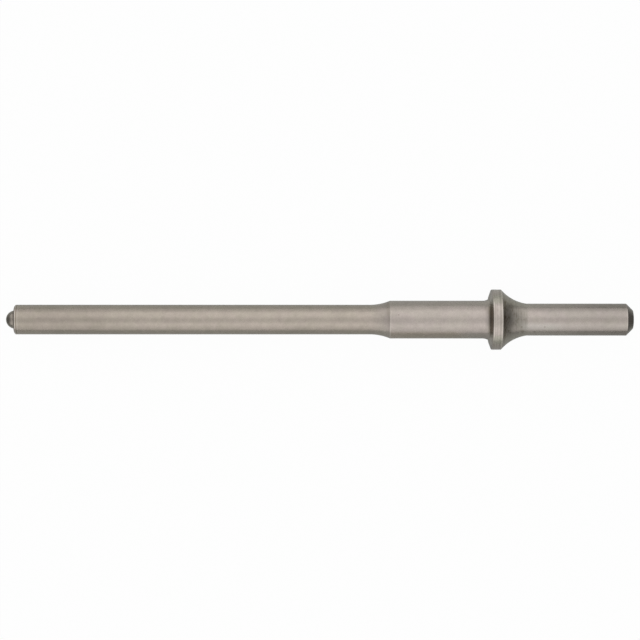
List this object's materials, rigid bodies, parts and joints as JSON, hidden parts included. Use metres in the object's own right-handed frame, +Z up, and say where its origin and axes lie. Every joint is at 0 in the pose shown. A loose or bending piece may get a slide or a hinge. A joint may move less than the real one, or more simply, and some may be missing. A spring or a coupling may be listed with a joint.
{
  "type": "pin punch",
  "caption": "Long round steel pin punch bit for an air hammer: domed pilot pin in a straight rod, stepped neck, flared retaining collar and plain chamfered shank.",
  "frame": {"origin": "on the axis at the root of the shank, where the flare behind the collar ends", "axes": "+X along the axis towards the struck end, tip at -X, +Z up as the punch lies in the picture"},
  "size_m": [0.1998, 0.0192, 0.0192],
  "materials": {
    "satin_steel": "satin turned grey steel, warm in tone",
    "pilot_steel": "smooth grey steel, a little darker than the body"
  },
  "bodies": {
    "root": {"punch_body": "satin_steel", "pilot_pin": "pilot_steel"}
  },
  "joints": []
}
